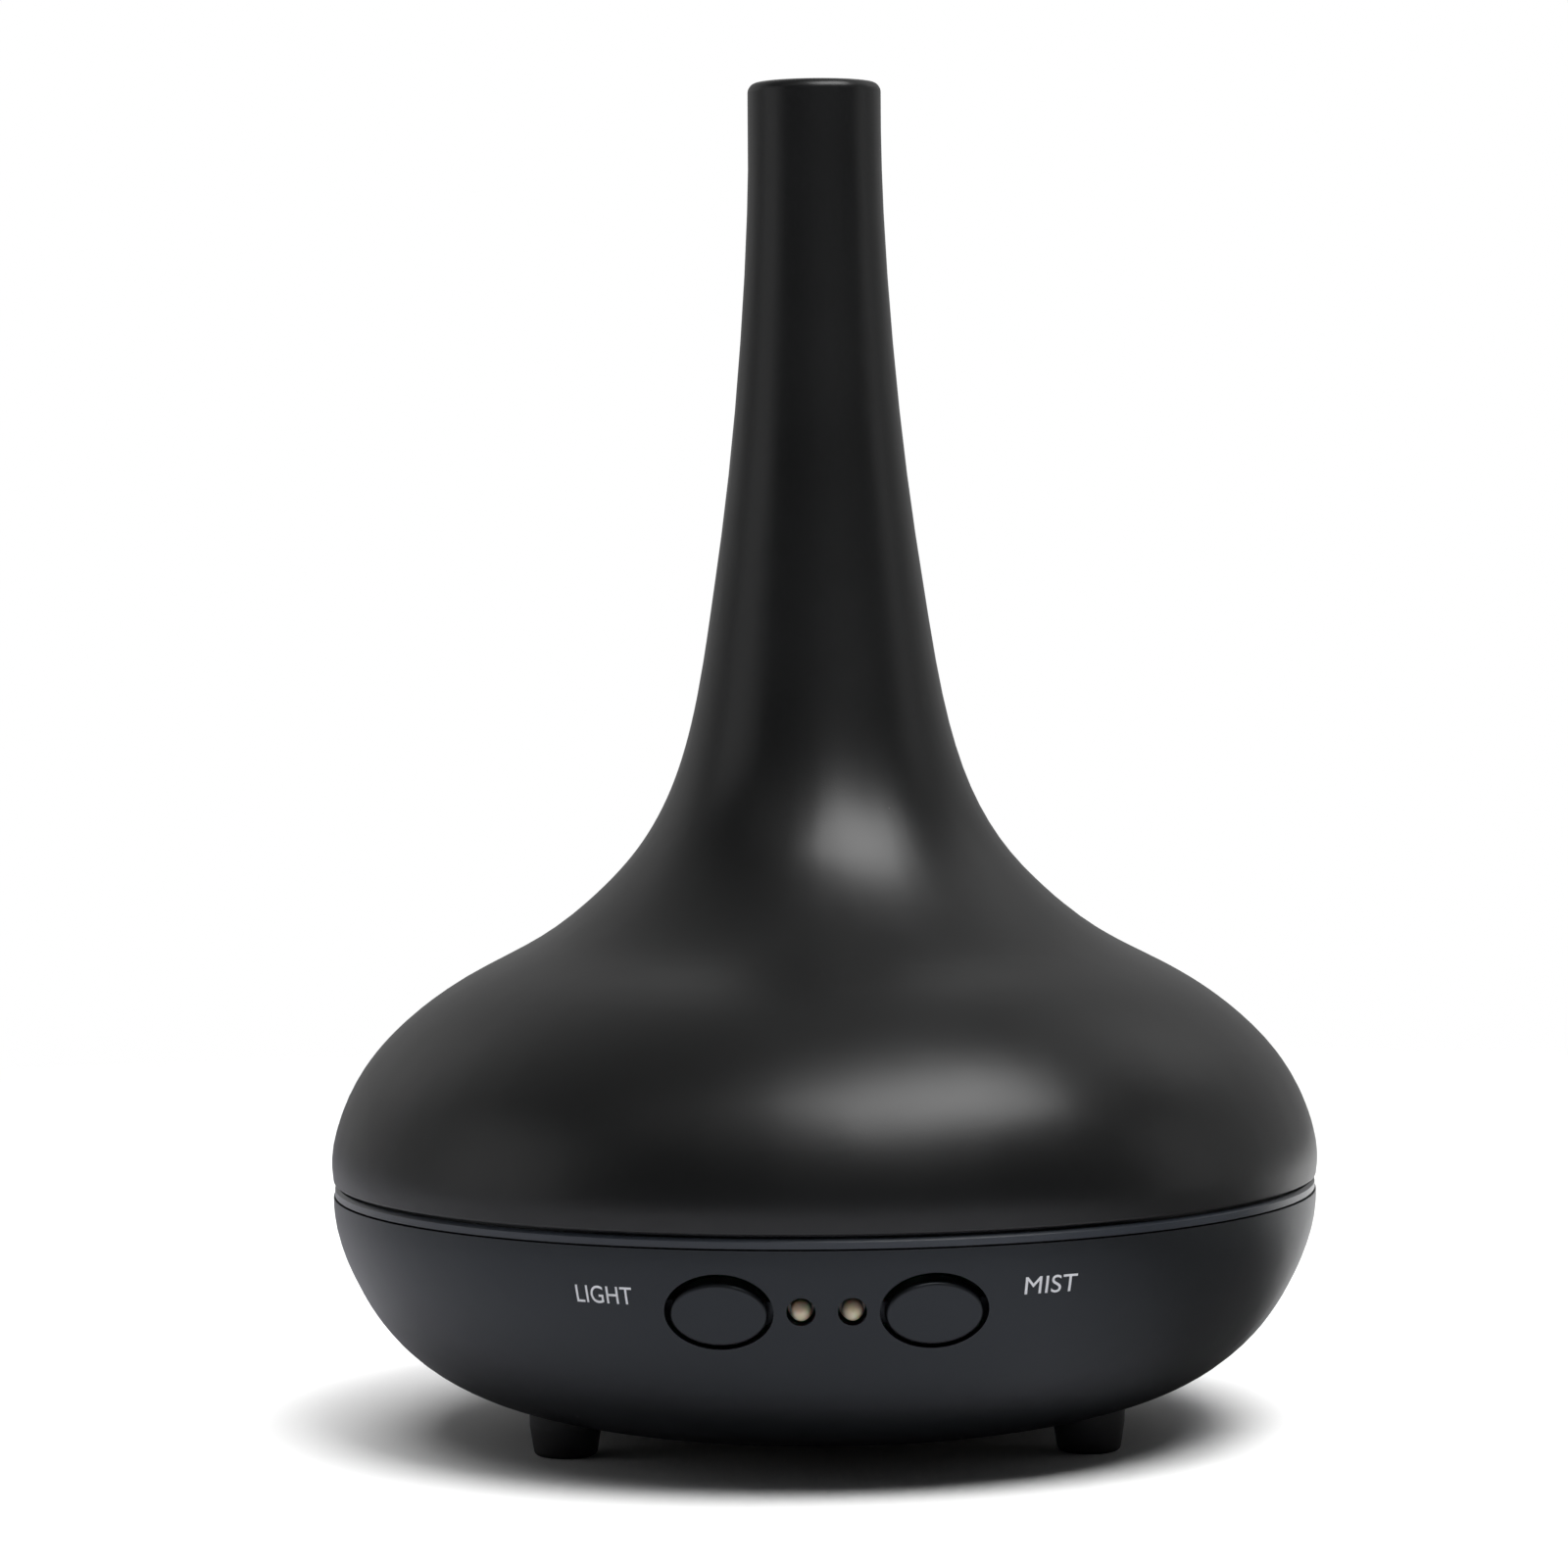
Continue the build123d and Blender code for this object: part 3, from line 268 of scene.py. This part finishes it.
def board(name, mask, trace, pitch):
    """Solder mask with tracks under it and a faint glass weave."""
    recipe = Recipe(name, mask, 0.32)
    lanes = recipe.add(
        "ShaderNodeTexBrick",
        Scale=1.0 / pitch,
        Mortar_Size=TRACK_GAP,
        Brick_Width=TRACK_LENGTH,
    )
    recipe.join(recipe.place, lanes.inputs["Vector"])
    broken = recipe.between(recipe.noise(TRACK_BREAK_SIZE), *TRACK_BREAK)
    tracks = recipe.math("MULTIPLY", lanes.outputs["Fac"], broken)
    recipe.color(recipe.mixed(tracks, mask, trace))
    recipe.bump(recipe.math("ADD", tracks, recipe.noise(WEAVE)), BOARD_RELIEF)
    recipe.shader.inputs["Coat Weight"].default_value = 0.4
    return recipe


def wound(name, color):
    """Enamelled wire wound in close turns round Z."""
    recipe = Recipe(name, color, 0.3, metallic=1.0)
    turns = recipe.add(
        "ShaderNodeTexWave",
        wave_type="BANDS",
        bands_direction="Z",
        Scale=WIRE_TURNS,
        Distortion=WIRE_WOBBLE,
    )
    recipe.join(recipe.place, turns.inputs["Vector"])
    recipe.color(recipe.mixed(turns.outputs["Fac"], shade(color, WIRE_SHADOW), color))
    recipe.bump(turns.outputs["Fac"], WIRE_RELIEF)
    return recipe


def make_materials(looks):
    """One material for each slot of the record, by slot name."""
    black = tuple(looks.black)
    base_black = tuple(looks.base_black)
    smoke = tuple(looks.ring)
    rough = looks.satin
    made = {
        "cover_plastic": moulded("cover_satin_black", black, rough, dust=0.35),
        "base_plastic": moulded("base_satin_black", base_black, rough, dust=0.35),
        "button_plastic": moulded("button_satin_black", shade(base_black, 1.1), rough),
        "guide_plastic": moulded("guide_black", (0.02, 0.02, 0.022), 0.5, grain=0.0005),
        "tank_plastic": milky("tank_milky", (0.62, 0.66, 0.68), 0.38, 0.35, 0.004),
        "foot_rubber": moulded("foot_rubber", (0.012, 0.012, 0.013), 0.62, grain=0.0003, relief=0.00002),
        "steel": metal("zinc_plated_screw", (0.62, 0.62, 0.60), 0.32),
        "clamp_steel": metal("brushed_clamp", (0.60, 0.60, 0.61), 0.34, grain=(1.0, 0.04, 1.0)),
        "piezo_metal": metal("disc_plating", (0.78, 0.66, 0.42), 0.28),
        "silicone": milky("seal_silicone", (0.66, 0.66, 0.64), 0.5, 0.6, 0.002),
        "fan_plastic": moulded("fan_black", (0.018, 0.018, 0.019), 0.46, grain=0.0004, relief=0.00001),
        "bronze": metal("sintered_bronze", (0.50, 0.34, 0.18), 0.45),
        "copper_wire": wound("copper_winding", (0.72, 0.33, 0.16)),
        "white_board": board("white_solder_mask", (0.80, 0.81, 0.79), (0.70, 0.71, 0.68), 0.0035),
        "green_board": board("green_solder_mask", (0.012, 0.12, 0.045), (0.03, 0.22, 0.08), 0.0032),
        "led_plastic": milky("led_body", (0.86, 0.86, 0.80), 0.3, 0.2, 0.001),
        "ferrite": wound("coil_winding", (0.60, 0.27, 0.14)),
        "can_aluminium": moulded("capacitor_sleeve", (0.02, 0.03, 0.08), 0.35, grain=0.0008),
        "sink_aluminium": metal("extruded_aluminium", (0.66, 0.67, 0.68), 0.36, grain=(1.0, 0.03, 1.0)),
        "chip_plastic": moulded("moulded_epoxy", (0.016, 0.016, 0.018), 0.55, relief=0.00001),
        "header_plastic": moulded("natural_nylon", (0.74, 0.72, 0.64), 0.42, grain=0.0005),
        "stem_plastic": moulded("black_nylon", (0.04, 0.04, 0.042), 0.45, grain=0.0004),
        "socket_plastic": moulded("socket_black", (0.015, 0.015, 0.016), 0.4, grain=0.0005),
        "pin_metal": metal("nickel_pin", (0.72, 0.71, 0.68), 0.22),
        "lead_sleeve": moulded("lead_sleeve", (0.30, 0.29, 0.28), 0.4, grain=0.0006),
    }
    for slot in ("base_plastic", "button_plastic"):
        made[slot].shader.inputs["Specular Tint"].default_value = (0.85, 0.92, 1.0, 1.0)
    ring = moulded("ring_smoke", smoke, looks.ring_gloss, grain=0.0006, relief=0.000003, dust=0.30)
    ring.shader.inputs["Coat Weight"].default_value = 0.25
    ring.shader.inputs["Coat Roughness"].default_value = 0.2
    made["ring_plastic"] = ring
    lamp = milky("lamp_lens", (0.80, 0.68, 0.48), 0.30, 0.6, 0.0015)
    lamp.shader.inputs["Coat Weight"].default_value = 0.8
    lamp.shader.inputs["Coat Roughness"].default_value = 0.08
    made["lamp_lens"] = lamp
    return {slot: recipe.material for slot, recipe in made.items()}


# -------------------------------------------------------------- piece helpers
def finish_piece(bm, name, body, material):
    """Turns a bmesh into a piece that rides on a body and takes a slot's finish."""
    mesh = bpy.data.meshes.new(name)
    bm.to_mesh(mesh)
    bm.free()
    piece = bpy.data.objects.new(name, mesh)
    bpy.context.scene.collection.objects.link(piece)
    mesh.materials.append(material)
    mesh.shade_smooth()
    mesh.set_sharp_from_angle(angle=CREASE)
    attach(piece, body)


def flat_word(word, values):
    """The word's letters lying flat, cut into bands."""
    curve = bpy.data.curves.new(word, "FONT")
    curve.body = word
    curve.align_x = "CENTER"
    curve.size = values.letter_height / CAP_SHARE
    curve.space_character = WORD_SPACE
    curve.extrude = values.ink / 2
    text = bpy.data.objects.new(word, curve)
    bpy.context.scene.collection.objects.link(text)
    flat = bpy.data.meshes.new_from_object(text)
    bpy.data.objects.remove(text)
    bm = bmesh.new()
    bm.from_mesh(flat)
    bmesh.ops.remove_doubles(bm, verts=bm.verts, dist=SAME_POINT)
    for i in range(1, WORD_BANDS):
        bmesh.ops.bisect_plane(
            bm,
            geom=bm.verts[:] + bm.edges[:] + bm.faces[:],
            dist=CUT_SLACK,
            plane_co=(0.0, values.letter_height * i / WORD_BANDS, 0.0),
            plane_no=(0.0, 1.0, 0.0),
        )
    return bm


def printed_word(word, turn, level, width, values):
    """A pad-printed word wrapped round the bowl, as a thin skin of ink on its surface."""
    bm = flat_word(word, values)
    sides = [vert.co.x for vert in bm.verts]
    spread = width / (max(sides) - min(sides))
    shell = bmesh.new()
    shell.from_mesh(NODES["base_shell"].data)
    surface = BVHTree.FromBMesh(shell)
    shell.free()
    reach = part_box("base_shell")[1].x
    for vert in bm.verts:
        across, up, lift = vert.co
        angle = turn + across * spread / reach
        inward = Vector((-sin(angle), cos(angle), 0.0))
        start = Vector((0.0, 0.0, level + up)) - inward * 2 * reach
        hit, normal = surface.ray_cast(start, inward)[:2]
        if hit is None:
            raise RuntimeError(f"the word {word} misses the bowl")
        vert.co = hit + normal * (lift + values.ink * INK_PROUD)
    bmesh.ops.recalc_face_normals(bm, faces=bm.faces)
    return bm


def slots_by_node():
    """The record's material slot of each CAD node."""
    return {part["node"]: part["material_slot"] for part in frame["record"]["subparts"]}


# ------------------------------------------------------------------- settings
class HumidifierLooks(bpy.types.PropertyGroup):
    """Colours and gloss that a user would change."""

    black: FloatVectorProperty(
        name="Cover black",
        description="Colour of the bottle-shaped cover",
        subtype="COLOR",
        size=3,
        min=0.0,
        max=1.0,
        default=(0.0075, 0.0078, 0.0080),
    )
    base_black: FloatVectorProperty(
        name="Base black",
        description="Colour of the bowl-shaped base",
        subtype="COLOR",
        size=3,
        min=0.0,
        max=1.0,
        default=(0.0084, 0.0090, 0.0100),
    )
    ring: FloatVectorProperty(
        name="Light ring",
        description="Colour of the smoky ring between cover and base",
        subtype="COLOR",
        size=3,
        min=0.0,
        max=1.0,
        default=(0.030, 0.036, 0.046),
    )
    satin: FloatProperty(
        name="Satin",
        description="Roughness of the black plastic",
        subtype="FACTOR",
        min=0.0,
        max=1.0,
        default=0.35,
    )
    ring_gloss: FloatProperty(
        name="Ring roughness",
        description="Roughness of the smoky ring",
        subtype="FACTOR",
        min=0.0,
        max=1.0,
        default=0.30,
    )


class HumidifierPrint(bpy.types.PropertyGroup):
    """The words printed beside the two buttons."""

    letter_height: FloatProperty(
        name="Letter height",
        description="Height of the capitals",
        subtype="DISTANCE",
        default=0.00265,
    )
    light_width: FloatProperty(
        name="Left word's width",
        description="Width of the word LIGHT, along the bowl",
        subtype="DISTANCE",
        default=0.0089,
    )
    mist_width: FloatProperty(
        name="Right word's width",
        description="Width of the word MIST, along the bowl",
        subtype="DISTANCE",
        default=0.0083,
    )
    ink: FloatProperty(
        name="Ink",
        description="Thickness of the printed skin",
        subtype="DISTANCE",
        default=0.00008,
    )
    turn: FloatProperty(
        name="Word angle",
        description="Angle round the bowl from its front to the middle of each word",
        subtype="ANGLE",
        default=radians(25.2),
    )
    level: FloatProperty(
        name="Word level",
        description="Height of the words' baseline above the floor",
        subtype="DISTANCE",
        default=0.0294,
    )
    slip: FloatProperty(
        name="Print slip",
        description="How far the left word is printed low and the right one high",
        subtype="DISTANCE",
        default=0.00047,
    )


class HumidifierStage(bpy.types.PropertyGroup):
    """Camera place and light strengths."""

    distance: FloatProperty(
        name="Camera distance",
        description="From the camera to the object's axis",
        subtype="DISTANCE",
        default=0.82265,
    )
    height: FloatProperty(
        name="Camera height",
        description="Height of the camera above the floor",
        subtype="DISTANCE",
        default=0.13683,
    )
    side: FloatProperty(
        name="Camera side step",
        description="Distance of the camera to the left of the object's middle",
        subtype="DISTANCE",
        default=0.0015,
    )
    tilt: FloatProperty(
        name="Camera tilt",
        description="Downward tilt of the camera",
        subtype="ANGLE",
        default=radians(2.653),
    )
    pan: FloatProperty(
        name="Camera pan",
        description="Turn of the camera to the left",
        subtype="ANGLE",
        default=radians(0.285),
    )
    roll: FloatProperty(
        name="Camera roll",
        description="Turn of the camera about its line of sight",
        subtype="ANGLE",
        default=radians(-0.57),
    )
    lens: FloatProperty(
        name="Lens",
        description="Focal length of the camera in millimetres",
        unit="CAMERA",
        default=124.08,
    )
    key: FloatProperty(
        name="Key light",
        description="Power of the soft box above right",
        unit="POWER",
        default=5.9,
    )
    wash: FloatProperty(
        name="Floor wash",
        description="Power of the soft box that lights the floor alone",
        unit="POWER",
        default=32.0,
    )


# ------------------------------------------------------------------ operators
class HUMIDIFIER_OT_materials(bpy.types.Operator):
    """Make the finishes and give each CAD node the one for its slot."""

    bl_idname = "humidifier.materials"
    bl_label = "Finishes"

    def execute(self, context):
        made = make_materials(context.scene.humidifier_looks)
        for node, slot in slots_by_node().items():
            mesh = NODES[node].data
            if not mesh.materials:
                mesh.materials.append(made[slot])
            for i in range(len(mesh.materials)):
                mesh.materials[i] = made[slot]
        return {"FINISHED"}


class HUMIDIFIER_OT_words(bpy.types.Operator):
    """Print the plain words beside the light and mist buttons."""

    bl_idname = "humidifier.words"
    bl_label = "Printed words"

    def execute(self, context):
        values = context.scene.humidifier_print
        ink = Recipe("pad_ink", (0.93, 0.94, 0.96), 0.5)
        ink.bump(ink.noise(0.0001), 0.000003)
        words = (
            ("LIGHT", -values.turn, values.level - values.slip, values.light_width),
            ("MIST", values.turn, values.level + values.slip, values.mist_width),
        )
        for word, turn, level, width in words:
            bm = printed_word(word, turn, level, width, values)
            finish_piece(bm, f"printed_word_{word.lower()}", BASE_BODY, ink.material)
        return {"FINISHED"}


class HUMIDIFIER_OT_stage(bpy.types.Operator):
    """Set the floor, the soft studio light and the camera."""

    bl_idname = "humidifier.stage"
    bl_label = "Stage"

    def execute(self, context):
        values = context.scene.humidifier_stage
        floor = self.floor()
        self.world()
        self.lights(values, floor)
        self.camera(values)
        return {"FINISHED"}

    def floor(self):
        """A round white floor that fades out to the camera before its edge."""
        bm = bmesh.new()
        bmesh.ops.create_circle(bm, cap_ends=True, segments=FLOOR_SIDES, radius=FLOOR_RADIUS)
        mesh = bpy.data.meshes.new("floor")
        bm.to_mesh(mesh)
        bm.free()
        floor = bpy.data.objects.new("floor", mesh)
        bpy.context.scene.collection.objects.link(floor)
        mesh.materials.append(self.floor_material())
        return floor

    def floor_material(self):
        """White to the camera; to the object, dim, with painted shade on the right that stands in for a
        flag.
        """
        recipe = Recipe("floor_white_painted_shade", FLOOR_WHITE, 0.7)
        seen = recipe.add("ShaderNodeLightPath").outputs["Is Camera Ray"]
        reach = recipe.add("ShaderNodeVectorMath", operation="LENGTH")
        recipe.join(recipe.place, reach.inputs[0])
        faded = recipe.between(reach.outputs["Value"], *FLOOR_FADE)
        clear = recipe.add("ShaderNodeBsdfTransparent")
        recipe.blend(
            recipe.math("MULTIPLY", faded, seen),
            recipe.shader.outputs["BSDF"],
            clear.outputs["BSDF"],
            recipe.tree.nodes["Material Output"].inputs["Surface"],
        )
        # Painted shade: to the object, the floor's colour is dim in front, darkest in a sector on the
        # right standing in for a flag, and lighter behind it.
        spot = recipe.add("ShaderNodeSeparateXYZ")
        recipe.join(recipe.stretched((1.0, -1.0, 1.0)), spot.inputs["Vector"])
        round_right = recipe.math("ARCTAN2", spot.outputs["X"], spot.outputs["Y"])
        shade_front_edge = recipe.between(round_right, *PAINTED_SHADE_FRONT_EDGE)
        shade_back_edge = recipe.between(round_right, *PAINTED_SHADE_BACK_EDGE)
        painted_bounce = recipe.mixed(shade_front_edge, BOUNCE_FRONT, BOUNCE_PAINTED_SHADE)
        painted_bounce = recipe.mixed(shade_back_edge, painted_bounce, BOUNCE_BACK)
        recipe.color(recipe.mixed(seen, painted_bounce, FLOOR_WHITE))
        return recipe.material

    def world(self):
        """Plain white to the camera; to the object, a glow that grows towards the back."""
        world = bpy.data.worlds.new("studio")
        world.use_nodes = True
        wiring = Wiring(world.node_tree)
        white = wiring.tree.nodes["Background"]
        white.inputs["Color"].default_value = (1, 1, 1, 1)
        white.inputs["Strength"].default_value = 1.0
        dim = wiring.add("ShaderNodeBackground")
        direction = wiring.add("ShaderNodeSeparateXYZ")
        wiring.join(wiring.add("ShaderNodeTexCoord").outputs["Generated"], direction.inputs["Vector"])
        glow = wiring.between(direction.outputs["Y"], *BACKDROP_SPAN, *BACKDROP_GLOW)
        wiring.join(glow, dim.inputs["Strength"])
        wiring.blend(
            wiring.add("ShaderNodeLightPath").outputs["Is Camera Ray"],
            dim.outputs["Background"],
            white.outputs["Background"],
            wiring.tree.nodes["World Output"].inputs["Surface"],
        )
        bpy.context.scene.world = world

    def lights(self, values, floor):
        """Soft boxes round the object: place, width, height and power of each."""
        boxes = (
            ("key_above_right", (0.266, -0.345, 0.818), 0.66, 0.42, values.key),
            ("front_left", (-0.31, -0.45, 0.74), 0.6, 0.4, 0.18),
            ("back_above", (0.0, 0.65, 0.64), 0.36, 0.36, 0.32),
            ("side_left", (-0.80, -0.16, 0.30), 0.5, 0.5, 0.46),
            ("back_left", (-0.59, 0.50, 0.45), 0.36, 0.36, 0.05),
            ("side_right", (0.84, -0.02, 0.24), 0.3, 0.5, 0.22),
            ("back_right", (0.55, 0.38, 0.61), 0.36, 0.36, 0.15),
            ("floor_wash", (0.0, -0.2, 1.4), 1.6, 1.6, values.wash),
        )
        for name, place, width, height, power in boxes:
            light = bpy.data.lights.new(name, "AREA")
            light.shape = "RECTANGLE"
            light.size = width
            light.size_y = height
            light.energy = power
            holder = bpy.data.objects.new(name, light)
            holder.location = place
            sight = Vector(LIGHT_AIM) - Vector(place)
            holder.rotation_euler = sight.to_track_quat("-Z", "Y").to_euler()
            bpy.context.scene.collection.objects.link(holder)
        ground = bpy.data.collections.new("ground")
        ground.objects.link(floor)
        bpy.data.objects["floor_wash"].light_linking.receiver_collection = ground

    def camera(self, values):
        """A long lens just above the base, looking at the object's front."""
        camera = bpy.data.cameras.new("camera")
        camera.lens = values.lens
        camera.sensor_width = 36.0
        camera.clip_start = 0.01
        camera.clip_end = 20.0
        holder = bpy.data.objects.new("camera", camera)
        aim = Matrix.Rotation(values.pan, 4, "Z") @ Matrix.Rotation(pi / 2 - values.tilt, 4, "X")
        place = Matrix.Translation((-values.side, -values.distance, values.height))
        holder.matrix_world = place @ aim @ Matrix.Rotation(values.roll, 4, "Z")
        bpy.context.scene.collection.objects.link(holder)
        bpy.context.scene.camera = holder
        bpy.context.scene.view_settings.view_transform = "Standard"


class HUMIDIFIER_PT_panel(bpy.types.Panel):
    """Sidebar panel with the settings and the steps."""

    bl_idname = "HUMIDIFIER_PT_panel"
    bl_label = "Humidifier"
    bl_space_type = "VIEW_3D"
    bl_region_type = "UI"
    bl_category = "Humidifier"

    def draw(self, context):
        scene = context.scene
        for group in (scene.humidifier_looks, scene.humidifier_print, scene.humidifier_stage):
            for name in group.bl_rna.properties.keys():
                if name not in ("rna_type", "name"):
                    self.layout.prop(group, name)
        for step in STEPS:
            self.layout.operator(step.bl_idname)


STEPS = (HUMIDIFIER_OT_stage, HUMIDIFIER_OT_materials, HUMIDIFIER_OT_words)
CLASSES = (HumidifierLooks, HumidifierPrint, HumidifierStage, *STEPS, HUMIDIFIER_PT_panel)


def register():
    for cls in CLASSES:
        bpy.utils.register_class(cls)
    bpy.types.Scene.humidifier_looks = PointerProperty(type=HumidifierLooks)
    bpy.types.Scene.humidifier_print = PointerProperty(type=HumidifierPrint)
    bpy.types.Scene.humidifier_stage = PointerProperty(type=HumidifierStage)


def unregister():
    del bpy.types.Scene.humidifier_stage
    del bpy.types.Scene.humidifier_print
    del bpy.types.Scene.humidifier_looks
    for cls in reversed(CLASSES):
        bpy.utils.unregister_class(cls)


def main():
    register()
    for step in STEPS:
        area, name = step.bl_idname.split(".")
        getattr(getattr(bpy.ops, area), name)()


if __name__ == "__main__":
    main()
